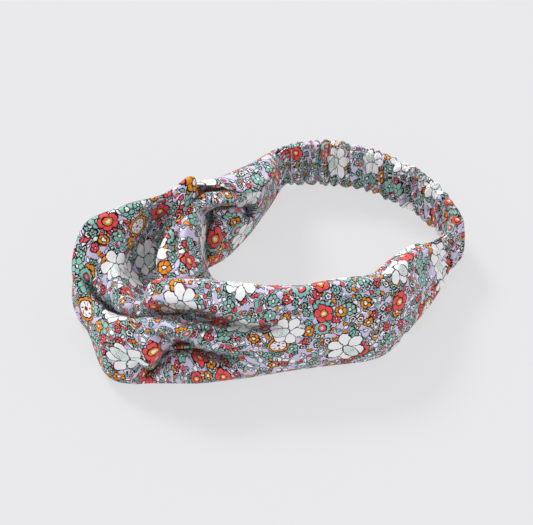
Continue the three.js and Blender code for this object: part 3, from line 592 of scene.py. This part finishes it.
def pebble_layer(n, base, uv, cell, seed, where, low):
    """A cluster of outlined pebbles where the mask where is 1."""
    moved = n.vmath("MULTIPLY_ADD", uv, (1 / cell, 1 / cell, 0.0))
    moved.node.inputs[2].default_value = (seed * 5.3, seed * 2.9, 0.0)
    v = n.voronoi(moved, "F1", 0.85)
    edge = n.voronoi(moved, "DISTANCE_TO_EDGE", 0.85)["Distance"]
    pick = n.split(v["Color"])
    fill = n.mix(n.below(pick[0], 0.60, 0.001), TEAL, WHITE)
    fill = n.mix(n.below(pick[1], low, 0.001), fill, CORAL)
    fill = n.mix(n.below(pick[2], 0.05, 0.001), fill, ORANGE)
    there = n.mul(where, n.below(pick[1], 0.92, 0.001))
    inside = n.mul(there, n.below(n.sub(0.0, edge), -0.12, 0.015))
    line = n.mul(there, n.below(n.abs(n.sub(edge, 0.12)), 0.062, 0.015))
    return n.mix(line, n.mix(inside, base, fill), INK)


# Scatters from small to large: cell mm, seed, petals, radius mm, depth of gaps, share shown, colours,
# heart radius mm, heart colour, dot colour, petal lines, randomness, petal power, size variation.
FLOWERS = [
    (5.0, 3.0, 5, 1.6, 0.32, 0.62, (WHITE, TEAL, 0.55), 0.42, ORANGE, None, False, 0.85),
    (7.4, 11.0, 5, 2.4, 0.36, 0.50, (CORAL, TEAL, 0.5), 0.55, WHITE, None, True, 0.85),
    (11.5, 4.0, 5, 3.7, 0.38, 0.50, (TEAL, TEAL, 0.5), 0.85, WHITE, None, True, 0.85),
    (13.0, 5.0, 5, 3.3, 0.26, 0.50, (ORANGE, ORANGE, 0.6), 1.0, WHITE, None, True, 0.85),
    (21.0, 6.0, 12, 4.6, 0.16, 0.50, (TEAL, TEAL, 0.5), 2.0, CORAL, LILAC, False, 0.85, 1.0, 0.15),
    (17.0, 7.0, 5, 5.2, 0.26, 0.34, (CORAL, CORAL, 0.5), 1.9, ORANGE, WHITE, True, 0.85),
]


def floral_colour(n, uv):
    """The small flower print, from cloth coordinates in mm."""
    warp = n.vmath("SCALE", n.vmath("SUBTRACT", n.noise(uv, 0.48, 2.0)["Color"], (0.5, 0.5, 0.5)), scale=1.4)
    at = n.vmath("ADD", uv, warp)
    colour = LILAC
    patch = n.noise(uv, 0.17, 1.0)["Fac"]
    clusters = n.below(n.sub(1.0, patch), 0.57, 0.02)
    colour = pebble_layer(n, colour, at, 2.7, 1.0, clusters, 0.09)
    colour = leaf_layer(n, colour, at, 4.6, 2.0, 1.3, 0.75, 0.80, (TEAL, WHITE, 0.55))
    colour = leaf_layer(n, colour, at, 5.6, 9.0, 1.35, 0.85, 0.85, (ORANGE, CORAL, 0.5))
    for layer in FLOWERS:
        colour = flower_layer(n, colour, at, *layer)
    colour = seed_flower(n, colour, at, 44.0, 13.0)
    colour = big_flower(n, colour, at, 29.0, 8.0)
    return colour


def seed_flower(n, base, uv, cell, seed):
    """Round white flowers with dark red seeds and an orange scalloped rim."""
    radius, angle, pick = motif_cells(n, uv, cell, seed, 0.8)
    shown = n.below(pick[1], 0.6, 0.001)
    edge, _ = petals(n, angle, 11, 5.6, 0.12, 1.0)
    colour = n.mix(n.mul(n.below(radius, edge, EDGE), shown), base, ORANGE)
    colour = n.mix(n.mul(ring_line(n, radius, edge), shown), colour, INK)
    colour = n.mix(n.mul(n.below(radius, 4.0, EDGE), shown), colour, WHITE)
    spoke = n.abs(n.math("COSINE", n.mul(angle, 3.5)))
    seeds = n.mul(n.below(n.mul(n.sub(1.0, spoke), radius), 0.22, 0.1),
                   n.below(n.abs(n.sub(radius, 2.5)), 0.85, 0.1))
    colour = n.mix(n.mul(seeds, shown), colour, SEED)
    colour = n.mix(n.mul(n.below(radius, 0.8, EDGE), shown), colour, SEED)
    return n.mix(n.mul(ring_line(n, radius, 4.0), shown), colour, INK)


def big_flower(n, base, uv, cell, seed):
    """Large white flowers with long outlined petals and a stippled sage petal in front."""
    radius, angle, pick = motif_cells(n, uv, cell, seed, 0.8)
    shown = n.below(pick[1], 0.62, 0.001)
    edge, wave = petals(n, angle, 6, 8.6, 0.46, 0.7)
    inside = n.mul(n.below(radius, edge, EDGE), shown)
    colour = n.mix(inside, base, WHITE)
    gap = n.below(n.mul(wave, radius), 0.62, 0.16)
    gap = n.mul(gap, n.mul(inside, n.below(radius, n.mul(edge, 0.97), 0.2)))
    colour = n.mix(gap, colour, INK)
    colour = n.mix(n.mul(ring_line(n, radius, edge), shown), colour, INK)
    turned = n.add(angle, 0.52)
    along = n.sub(n.mul(radius, n.math("COSINE", turned)), 3.4)
    side = n.mul(radius, n.math("SINE", turned))
    oval = n.vmath("LENGTH", n.join(n.math("DIVIDE", along, 4.6), n.math("DIVIDE", side, 2.5)), out=1)
    leaf = n.mul(n.below(oval, 1.0, 0.03), shown)
    dots = n.voronoi(n.vmath("SCALE", uv, scale=1.25), "F1", 0.9)["Distance"]
    pale = n.mix(0.28, WHITE, TEAL)
    stipple = n.mix(n.below(dots, 0.22, 0.06), pale, INK)
    tip = n.below(n.abs(along), 1.6, 1.6)
    colour = n.mix(leaf, colour, n.mix(tip, pale, stipple))
    rim = n.below(n.abs(n.sub(oval, 1.0)), 0.065, 0.03)
    return n.mix(n.mul(rim, shown), colour, INK)


def cloth_material(name, tilt, offset):
    """Printed plain-weave cotton: print, weave relief, slubs and a soft sheen. tilt turns the print."""
    mat = bpy.data.materials.new(name)
    mat.use_nodes = True
    tree = mat.node_tree
    tree.nodes.clear()
    n = Nodes(tree)
    out = tree.nodes.new("ShaderNodeOutputMaterial")
    shader = tree.nodes.new("ShaderNodeBsdfPrincipled")
    tree.links.new(shader.outputs[0], out.inputs[0])
    pin = tree.nodes.new("ShaderNodeUVMap")
    pin.uv_map = "cloth"
    turn = tree.nodes.new("ShaderNodeMapping")
    turn.inputs["Rotation"].default_value = (0, 0, math.radians(tilt))
    turn.inputs["Location"].default_value = (offset[0], offset[1], 0)
    tree.links.new(pin.outputs[0], turn.inputs[0])
    uv = turn.outputs[0]
    colour = floral_colour(n, uv)
    fade = n.math("MULTIPLY_ADD", n.noise(uv, 0.05, 2.0)["Fac"], 0.10, 0.93)
    x, y, _ = n.split(uv)
    warp = n.math("SINE", n.mul(x, 2 * math.pi / 0.34))
    weft = n.math("SINE", n.mul(y, 2 * math.pi / 0.34))
    weave = n.mul(warp, weft)
    slub = n.noise(n.vmath("MULTIPLY", uv, (0.5, 3.0, 1.0)), 1.0, 3.0)["Fac"]
    tone = n.math("MULTIPLY_ADD", weave, 0.035, fade)
    shade = n.vmath("SCALE", colour, scale=tone)
    tree.links.new(shade, shader.inputs["Base Color"])
    rough = n.math("MULTIPLY_ADD", slub, 0.10, 0.80)
    tree.links.new(rough, shader.inputs["Roughness"])
    shader.inputs["Sheen Weight"].default_value = 0.12
    shader.inputs["Sheen Roughness"].default_value = 0.5
    shader.inputs["Specular IOR Level"].default_value = 0.25
    crease = n.noise(uv, 0.22, 3.0)["Fac"]
    relief = n.add(n.mul(weave, 0.02), n.mul(slub, 0.06))
    relief = n.add(relief, n.mul(crease, 0.9))
    n.bump(relief, 0.6, 0.001, shader)
    return mat


def thread_material(name, colour):
    mat = bpy.data.materials.new(name)
    mat.use_nodes = True
    tree = mat.node_tree
    n = Nodes(tree)
    shader = tree.nodes["Principled BSDF"]
    place = tree.nodes.new("ShaderNodeTexCoord")
    twist = n.noise(n.vmath("SCALE", place.outputs["Object"], scale=1000.0), 1.6, 3.0, "3D")["Fac"]
    dark = tuple(0.72 * c for c in colour[:3]) + (1.0,)
    tree.links.new(n.mix(twist, colour, dark), shader.inputs["Base Color"])
    tree.links.new(n.math("MULTIPLY_ADD", twist, 0.2, 0.55), shader.inputs["Roughness"])
    n.bump(twist, 0.5, 0.0002, shader)
    return mat


# ---------------------------------------------------------------- strips
STEP = 1.25
ACROSS_RIGHT, ACROSS_LEFT = 111, 81

right_cloth = cloth_material("floral_cotton_right", 12, (3, 5))
left_cloth = cloth_material("floral_cotton_left", -18, (60, 20))
casing_cloth = cloth_material("floral_cotton_casing", 4, (120, 80))


def edge_puff(g, thick, roll):
    """Half thickness of a strip at every grid point: soft folds at the long edges."""
    step = np.linalg.norm(np.diff(g, axis=1), axis=-1)
    along = np.concatenate([np.zeros((len(g), 1)), np.cumsum(step, axis=1)], axis=1)
    edge = np.minimum(along, along[:, -1:] - along)
    t = np.clip(edge / roll, 0, 1)
    return 0.5 * thick * np.sqrt(np.clip(1 - (1 - t) ** 2, 0, 1))


def sculpt(g, strokes, strength):
    """Pushes folds into a sheet. A stroke is (line, left height, left width, right height, right width).

    All are in mm. The line is drawn on the plane that faces the sheet from the front at 45 degrees: x, and
    (y + z) / sqrt 2. Heights are towards the front, and a stroke whose sides differ makes a lip. strength is
    0..1 for every station."""
    at = np.stack([g[..., 0], (g[..., 1] + g[..., 2]) / math.sqrt(2)], axis=-1)
    push = np.zeros(g.shape[:2])
    for line, left, left_width, right, right_width in strokes:
        line = np.array(line, float)
        line = spline(line, even(line[:, None], 6 * len(line)))
        best = np.full(g.shape[:2], 1e9)
        side = np.zeros(g.shape[:2])
        ends = np.zeros(g.shape[:2])
        for k in range(len(line) - 1):
            a, d = line[k], line[k + 1] - line[k]
            t = np.clip(((at - a) @ d) / (d @ d), 0, 1)
            off = at - a - t[..., None] * d
            far = np.linalg.norm(off, axis=-1)
            near = far < best
            best = np.where(near, far, best)
            side = np.where(near, d[0] * off[..., 1] - d[1] * off[..., 0], side)
            ends = np.where(near, (k + t) / (len(line) - 1), ends)
        blend = np.clip(0.5 + 0.5 * best * np.sign(side) / 0.8, 0, 1)
        fall_left = np.clip(1 - (best / left_width) ** 2, 0, 1) ** 2
        fall_right = np.clip(1 - (best / right_width) ** 2, 0, 1) ** 2
        taper = np.clip(np.minimum(ends, 1 - ends) / 0.22, 0, 1)
        taper = taper * taper * (3 - 2 * taper)
        push += taper * (blend * left * fall_left + (1 - blend) * right * fall_right)
    push *= strength[:, None]
    g = g.copy()
    g[..., 1] -= push / math.sqrt(2)
    g[..., 2] += push / math.sqrt(2)
    return g


def window(u, start, full, end, gone):
    """0 before start, 1 from full to end, 0 after gone, with soft steps."""
    up = np.clip((u - start) / (full - start), 0, 1)
    down = np.clip((gone - u) / (gone - end), 0, 1)
    up, down = up * up * (3 - 2 * up), down * down * (3 - 2 * down)
    return np.minimum(up, down)


def crumple(g, pleats, seed):
    """Moves the sheet along its normal: small wrinkles all over, and pleats along its length where listed.

    pleats: (where they start, are full, are still full, are gone, folds across, height mm), stations 0..1."""
    n, m = g.shape[:2]
    u, v = np.linspace(0, 1, n)[:, None], np.linspace(0, 1, m)[None, :]
    move = 0.35 * smooth_noise((n, m), (34, 9), seed) + 0.55 * smooth_noise((n, m), (14, 5), seed + 1)
    for k, (start, full, end, gone, folds, high) in enumerate(pleats):
        phase = 1.1 * smooth_noise((n, m), (9, 2), seed + 10 + k)
        wave = np.abs(np.sin(np.pi * folds * v + phase)) ** 0.8 - 0.6
        move = move + window(u, start, full, end, gone) * wave * high
    rim = np.clip(np.minimum(v, 1 - v) / 0.04, 0, 1)
    return g + grid_normals(g) * (move * (0.4 + 0.6 * rim))[..., None]


def make_strip(name, knots, across, material, pleats, seed, folds):
    g, places = loft(knots, STEP, across)
    g = crumple(g, pleats, seed)
    for strokes, start, end in folds:
        g = sculpt(g, strokes, window(places, start, start + 1, end - 1, end))
    uv = flat_uv(g, 5)
    ob = strip_cloth(name, g, uv, edge_puff(g, 1.0, 1.2))
    ob.data.materials.append(material)
    return ob


# Folds of the knot, drawn as strokes for sculpt().
RIGHT_FOLDS = [
    ([[-54.7, -22.7], [-47.1, -21.8], [-38.2, -22.7], [-27.1, -24.9], [-13.8, -28], [-1.8, -28.9],
      [10.2, -26.2]], -9, 3.2, -8, 3.6),
    ([[-56, -21.8], [-49.3, -19.1], [-42.7, -17.8], [-33.8, -19.6], [-22.7, -22.7], [-11.6, -25.3]],
     3, 9, -5, 3),
    ([[-78.2, -13.8], [-73.3, -20], [-67.6, -23.1], [-60.4, -25.3], [-54.7, -24.9], [-47.6, -24.9],
      [-40.9, -26.2], [-33.8, -28.9], [-28, -31.1], [-17.8, -32], [-7.1, -30.7]], -6.5, 3.4, 2.6, 4.5),
    ([[-51.6, -28.4], [-47.6, -30.2], [-42.7, -31.6], [-35.6, -34.2], [-29.8, -36.4], [-23.1, -38.7],
      [-16, -40], [-8.9, -39.1]], 2.4, 5, -10, 7),
    ([[-35.6, -33.3], [-40, -35.1], [-44.4, -37.8], [-49.8, -43.1], [-52.9, -47.1], [-55.6, -52]],
     -8.5, 6.5, 2, 8),
    ([[-48, -40], [-43.6, -36.9], [-38.2, -35.1], [-30.2, -34.7]], -12, 3.8, -12, 3.8),
    ([[-81.8, -3.6], [-79.1, -9.8], [-75.1, -16], [-70.7, -20], [-65.3, -23.1], [-57.8, -24.9]],
     -10, 3.8, -6, 2.6),
    ([[-68, 0], [-64.9, -10.2], [-61.8, -18.2], [-57.3, -23.6]], 2.6, 3, 2.6, 3),
    ([[-39.1, 28.4], [-43.6, 23.6], [-48, 16.9], [-51.1, 9.8], [-53.3, 0], [-55.6, -11.6]], -14, 6, -13, 12),
    ([[-32.9, 34.2], [-41.8, 29.3], [-51.6, 22.2], [-60.4, 13.3], [-67.6, 2.7]], -2.2, 2.6, -1.6, 4),
    ([[-36.4, 30.2], [-45.3, 23.1], [-53.3, 13.3], [-59.6, 1.8], [-61.3, -8]], -2, 2.4, -1.6, 4),
    ([[-42.7, 30.2], [-55.1, 24.9], [-68.4, 16]], -1.4, 2.6, -1.2, 4),
    ([[-78.2, 16.9], [-74.7, 5.3], [-73.8, -5.8]], -1.4, 3, -1.2, 4),
    ([[77.3, 0], [64, -7.1], [48.4, -13.3], [28.4, -18.2]], -1.4, 3, -1.4, 4),
    ([[77.8, -2.7], [68.4, -15.1], [57.3, -24.9], [41.8, -30.2]], -1.4, 4, -1.4, 4),
    ([[75.6, 3.6], [64, -3.6], [52.9, -8.9], [39.6, -12.4]], -1.2, 3, -1.2, 3),
    ([[-70.2, -34.7], [-68.4, -42.7], [-65.8, -49.8]], -1.2, 3, -1.2, 3),
    ([[-63.1, -36.9], [-59.1, -42.7], [-56.9, -48]], -0.9, 3, -0.9, 3),
]
LEFT_FOLDS = [
    ([[-27.6, 24.4], [-25.8, 20.4], [-23.6, 16.4]], -12, 4, -12, 3.6),
    ([[-10.2, 26.2], [-8.4, 22.7], [-8.4, 19.1]], -14, 3.4, -14, 3.4),
    ([[-19.1, 20.4], [-21.8, 14.2], [-20.9, 7.1], [-22.2, 1.8]], 3, 2.6, 3, 3),
    ([[-26.2, 17.8], [-27.1, 9.8], [-26.2, 0]], -7, 2.8, -7, 2.8),
    ([[-5.3, 27.6], [-12.4, 26.2], [-20.4, 25.8], [-26.7, 25.3], [-30.2, 21.8]], -6, 3.6, 2.8, 3.6),
    ([[-15.1, 21.3], [-15.1, 15.1], [-17.8, 8]], -2.4, 3, -2.4, 3),
    ([[-32, 26.2], [-37.3, 17.8], [-40, 5.3], [-40, -5.8]], -2.6, 3, -2.6, 4),
    ([[-29.8, 20.9], [-33.3, 9.8], [-33.3, -4.4]], -2, 3, -2, 3),
]
LEFT_TOP_FOLDS = [
    ([[2.7, 40.9], [-11.6, 34.7], [-22.2, 31.1]], -1.6, 3, -1.6, 3),
    ([[4, 45.3], [-9.3, 38.2], [-18.2, 34.7]], -1.2, 3, -1.2, 3),
]
RIGHT_PLEATS = [
    (-0.1, -0.05, 0.02, 0.11, 6, 1.3), (0.47, 0.54, 0.58, 0.64, 6, 0.5), (0.90, 0.97, 1.1, 1.2, 6, 1.0),
]
LEFT_PLEATS = [(-0.1, -0.05, 0.02, 0.12, 5, 1.2), (0.9, 0.98, 1.1, 1.2, 5, 0.9)]
right_piece = make_strip(
    "right_strip_cloth", matched(RIGHT_FRONT + RIGHT_KNOT + RIGHT_BACK, 17), ACROSS_RIGHT, right_cloth,
    RIGHT_PLEATS, 21,
    [(RIGHT_FOLDS, -1, len(RIGHT_FRONT) + len(RIGHT_KNOT))])
left_piece = make_strip(
    "left_strip_cloth", matched(LEFT_OUTER + LEFT_INNER, 11), ACROSS_LEFT, left_cloth, LEFT_PLEATS, 41,
    [(LEFT_TOP_FOLDS, -1, 7), (LEFT_FOLDS, len(LEFT_OUTER) - 1.5, 40)])


# ---------------------------------------------------------------- casing
GATHER = 1.55  # cloth length to casing length
AROUND = 64.0  # mm of cloth round the casing


def casing_line(count):
    path = np.array([[x, y, 0.0] for x, y in CASING_PATH])
    places = even(path[:, None], count)
    line = spline(path, places)
    d = np.gradient(line, axis=0)
    d /= np.linalg.norm(d, axis=-1, keepdims=True)
    out = np.stack([-d[:, 1], d[:, 0], np.zeros(len(d))], axis=-1)
    return line, out


def make_casing():
    rings, sides = 900, 96
    line, out = casing_line(rings)
    length = np.linalg.norm(np.diff(line, axis=0), axis=-1).sum()
    s = np.linspace(0, length, rings)[:, None]
    a = np.linspace(0, 2 * np.pi, sides, endpoint=False)[None, :]
    wander = smooth_noise((rings, sides), (40, 5), 3) * 1.3 + smooth_noise((rings, sides), (16, 3), 4) * 3.2
    wander += (np.roll(wander, sides // 2, axis=1) - wander) * 0.5 * (1 + np.cos(a)) / 2
    pitch = 4.8
    wave = np.abs(np.sin(np.pi * (s + wander) / pitch)) ** 0.75
    fine = np.abs(np.sin(np.pi * (s + 1.7 * wander + 1.3) / (pitch * 0.53))) ** 0.8
    strength = 1.0 + 0.35 * smooth_noise((rings, sides), (30, 6), 5)
    fold = (wave * 2.3 + fine * 0.9 - 1.65) * strength
    end = np.clip(np.minimum(s, length - s) / 7.0, 0, 1)
    pinch = np.clip(np.minimum(s, length - s) / 2.4, 0, 1)
    pinch = np.sqrt(1 - (1 - pinch) ** 2)
    end = end * end * (3 - 2 * end)
    deep = (3.2 + fold * (0.35 + 0.65 * end) - 0.5 * (1 - end)) * (0.36 + 0.64 * pinch)
    frill = smooth_noise((rings, sides), (60, 2), 6) * 0.8
    tall = 12.0 + fold * 0.5 * (0.4 + 0.6 * end) + frill * end - 0.3 * (1 - end) - 0.8 * (1 - pinch)
    c, t = np.cos(a), np.sin(a)
    side = np.sign(c) * np.abs(c) ** 0.72 * deep
    up = np.sign(t) * np.abs(t) ** 0.9 * tall
    sway = smooth_noise((rings, 1), (22, 1), 8) * 0.7
    points = line[:, None] + out[:, None] * (side + sway)[..., None]
    points[..., 2] = 13.2 + up
    tangent = np.cross(out, [0, 0, 1.0])
    lean = smooth_noise((rings, sides), (24, 4), 9) * 0.9
    points += tangent[:, None] * (lean * end)[..., None]
    points[..., 2] = np.maximum(points[..., 2], FLOOR_GAP)
    u = s * GATHER + 0 * a
    v = np.concatenate([[0], np.cumsum(np.full(sides, AROUND / sides))])
    i, j = np.meshgrid(np.arange(rings - 1), np.arange(sides), indexing="ij")
    k = (j + 1) % sides
    quads = np.stack([i * sides + j, i * sides + k, (i + 1) * sides + k, (i + 1) * sides + j], axis=-1)
    quads = quads.reshape(-1, 4)
    cu = np.stack([u[i, 0], u[i, 0], u[i + 1, 0], u[i + 1, 0]], axis=-1)
    cv = np.stack([v[j], v[j + 1], v[j + 1], v[j]], axis=-1)
    uvs = np.stack([cu, cv], axis=-1).reshape(-1, 2)
    caps = end_caps(rings, sides, sides // 2, True)
    flat = np.stack([u.ravel()[:sides], v[:sides]], axis=-1)
    ends = np.concatenate([flat[np.array(cap) % sides] for cap in caps])
    ob = new_mesh("casing_cloth", points.reshape(-1, 3), quads.tolist() + caps, np.concatenate([uvs, ends]))
    ob.data.materials.append(casing_cloth)
    return ob, points


casing_piece, casing_points = make_casing()


# ---------------------------------------------------------------- elastic and stitches
def elastic_material(name):
    """Knitted elastic: fine ribs along the band and a row of loops across them."""
    mat = bpy.data.materials.new(name)
    mat.use_nodes = True
    tree = mat.node_tree
    n = Nodes(tree)
    shader = tree.nodes["Principled BSDF"]
    pin = tree.nodes.new("ShaderNodeUVMap")
    pin.uv_map = "cloth"
    x, y, _ = n.split(pin.outputs[0])
    rib = n.abs(n.math("SINE", n.mul(y, math.pi / 1.3)))
    loop = n.math("SINE", n.mul(n.add(x, n.mul(rib, 0.4)), 2 * math.pi / 0.9))
    relief = n.math("MULTIPLY_ADD", loop, 0.3, rib)
    tree.links.new(n.mix(n.math("MULTIPLY_ADD", loop, 0.2, 0.4), srgb(236, 235, 230), srgb(206, 204, 198)),
                   shader.inputs["Base Color"])
    tree.links.new(n.math("MULTIPLY_ADD", rib, 0.15, 0.6), shader.inputs["Roughness"])
    n.bump(relief, 0.7, 0.0003, shader)
    return mat


def make_elastic(wide, middle, thick, tuck):
    line, _ = casing_line(260)
    line = line[tuck:-tuck]
    up = np.linspace(-wide / 2, wide / 2, 15)
    g = np.repeat(line[:, None], 15, axis=1)
    g[..., 2] = middle + up[None, :]
    s = run_length(line)
    uv = np.stack(np.meshgrid(s, up, indexing="ij"), axis=-1)
    ob = strip_cloth("elastic_woven", g, uv, edge_puff(g, thick, 0.8))
    ob.data.materials.append(elastic_material("knitted_elastic"))
    return ob


def make_stitches(name, path, stitch, gap, radius, material):
    """Separate round stitches, each stitch mm long with a gap between them, along path (mm)."""
    path = np.asarray(path, float)
    s = run_length(path)
    count = max(int((s[-1] + gap) / (stitch + gap)), 1)
    verts, faces = [], []
    for k in range(count):
        start = k * (stitch + gap)
        t = np.linspace(start, min(start + stitch, s[-1]), 7)
        p = np.stack([np.interp(t, s, path[:, c]) for c in range(3)], axis=-1)
        d = np.gradient(p, axis=0)
        d /= np.maximum(np.linalg.norm(d, axis=-1, keepdims=True), 1e-9)
        ref = np.where(np.abs(d[:, 2:3]) > 0.9, np.array([[1.0, 0, 0]]), np.array([[0, 0, 1.0]]))
        a = np.cross(d, ref)
        a /= np.linalg.norm(a, axis=-1, keepdims=True)
        b = np.cross(d, a)
        size = radius * np.array([0.25, 0.75, 1.0, 1.0, 1.0, 0.75, 0.25])
        base = len(verts)
        for i in range(7):
            for j in range(8):
                w = 2 * math.pi * j / 8
                verts.append(p[i] + size[i] * (a[i] * math.cos(w) + b[i] * math.sin(w)))
        for i in range(6):
            for j in range(8):
                c = (j + 1) % 8
                faces.append((base + i * 8 + j, base + i * 8 + c, base + i * 8 + 8 + c, base + i * 8 + 8 + j))
        faces.append(tuple(base + j for j in range(7, -1, -1)))
        faces.append(tuple(base + 48 + j for j in range(8)))
    ob = new_mesh(name, verts, faces)
    ob.data.materials.append(material)
    return ob


def end_ring(row, proud):
    """The closed line round the casing at a ring, standing proud mm off the cloth."""
    ring = casing_points[row]
    out = ring - ring.mean(axis=0)
    out[:, 2] *= 0.05
    ring = ring + proud * out / np.maximum(np.linalg.norm(out, axis=-1, keepdims=True), 1e-6)
    ring[:, 2] = np.maximum(ring[:, 2], FLOOR_GAP + 0.28)
    return np.concatenate([ring, ring[:1]])


def zigzag(line, low, high, pitch):
    s = run_length(line)
    turns = int(s[-1] / pitch) * 2
    t = np.linspace(0, s[-1], turns + 1)
    out = np.stack([np.interp(t, s, line[:, c]) for c in range(3)], axis=-1)
    out[:, 2] = np.where(np.arange(turns + 1) % 2 == 0, low, high)
    return out


thread_colour = srgb(222, 216, 232)
seam_thread = thread_material("sewing_thread_soft", thread_colour)
JOIN = (2.2, 0.9, 0.2, seam_thread)  # stitch, gap and radius in mm
elastic_piece = make_elastic(18.4, 13.7, 1.0, 4)
left_join_piece = make_stitches("left_join_stitches", end_ring(9, 0.12), *JOIN)
right_join_piece = make_stitches("right_join_stitches", end_ring(-10, 0.12), *JOIN)
centre, aside = casing_line(260)
TACK = (6, 0.8, 0.18, seam_thread)  # stitch, gap and radius in mm
left_tack_line, right_tack_line = centre[6:12] + aside[6:12] * 0.7, centre[-12:-6] - aside[-12:-6] * 0.7
left_tack_piece = make_stitches("left_tack_stitches", zigzag(left_tack_line, 6, 21, 0.9), *TACK)
right_tack_piece = make_stitches("right_tack_stitches", zigzag(right_tack_line, 6, 21, 0.9), *TACK)
seam_line = centre[8:-8].copy()
seam_line[:, 2] = 3.7
seam_piece = make_stitches("casing_seam_stitches", seam_line, 2.6, 0.9, 0.2, seam_thread)


# ---------------------------------------------------------------- camera, light and floor
def make_floor():
    me = bpy.data.meshes.new("floor")
    r = 15.0
    me.from_pydata([(-r, -r, 0), (r, -r, 0), (r, r, 0), (-r, r, 0)], [], [(0, 1, 2, 3)])
    ob = bpy.data.objects.new("floor", me)
    bpy.context.scene.collection.objects.link(ob)
    mat = bpy.data.materials.new("floor")
    mat.use_nodes = True
    shader = mat.node_tree.nodes["Principled BSDF"]
    shader.inputs["Base Color"].default_value = (0.15, 0.15, 0.152, 1)
    shader.inputs["Emission Color"].default_value = (1.0, 1.0, 1.016, 1)
    shader.inputs["Emission Strength"].default_value = 0.62
    shader.inputs["Roughness"].default_value = 0.95
    shader.inputs["Specular IOR Level"].default_value = 0.1
    me.materials.append(mat)


make_floor()
ELEVATION = math.radians(45)
SENSOR = 36  # mm
VIEW_WIDTH = 533 / 2.25  # mm across the picture at the object
target = Vector((SHIFT * MM).tolist())
camera_data = bpy.data.cameras.new("camera")
camera_data.lens = 900
camera_data.sensor_width = SENSOR
camera = bpy.data.objects.new("camera", camera_data)
bpy.context.scene.collection.objects.link(camera)
distance = camera_data.lens / SENSOR * VIEW_WIDTH * MM
camera.location = target + Vector((0, -math.cos(ELEVATION), math.sin(ELEVATION))) * distance
camera.rotation_euler = (math.pi / 2 - ELEVATION, 0, 0)
bpy.context.scene.camera = camera

scene = bpy.context.scene
scene.view_settings.view_transform = "Standard"
world = bpy.data.worlds.new("studio")
world.use_nodes = True
world.node_tree.nodes["Background"].inputs[0].default_value = (0.975, 0.975, 1.0, 1)
world.node_tree.nodes["Background"].inputs[1].default_value = 0.80
scene.world = world


def sun(name, tilt, turn, spread, strength):
    """A soft sun: tilt down from overhead and turn clockwise from the back, in degrees."""
    data = bpy.data.lights.new(name, "SUN")
    data.angle, data.energy = math.radians(spread), strength
    ob = bpy.data.objects.new(name, data)
    ob.rotation_euler = (math.radians(tilt), 0, math.radians(turn))
    scene.collection.objects.link(ob)


sun("key", 47, 215, 18, 2.4)

# ---------------------------------------------------------------- bodies and the table
PIECES = [
    (right_piece, "right_strip", "floral_cotton", False),
    (left_piece, "left_strip", "floral_cotton", False),
    (casing_piece, "elastic_casing", "floral_casing", True),
    (elastic_piece, "elastic_band", "woven_elastic", True),
    (left_join_piece, "left_join_thread", "sewing_thread", False),
    (right_join_piece, "right_join_thread", "sewing_thread", False),
    (left_tack_piece, "left_elastic_tack", "sewing_thread", True),
    (right_tack_piece, "right_elastic_tack", "sewing_thread", True),
    (seam_piece, "casing_seam_thread", "sewing_thread", True),
]
for piece, node, slot, stretches in PIECES:
    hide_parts(node)
    if stretches:
        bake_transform(piece)
    else:
        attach(piece, "front")
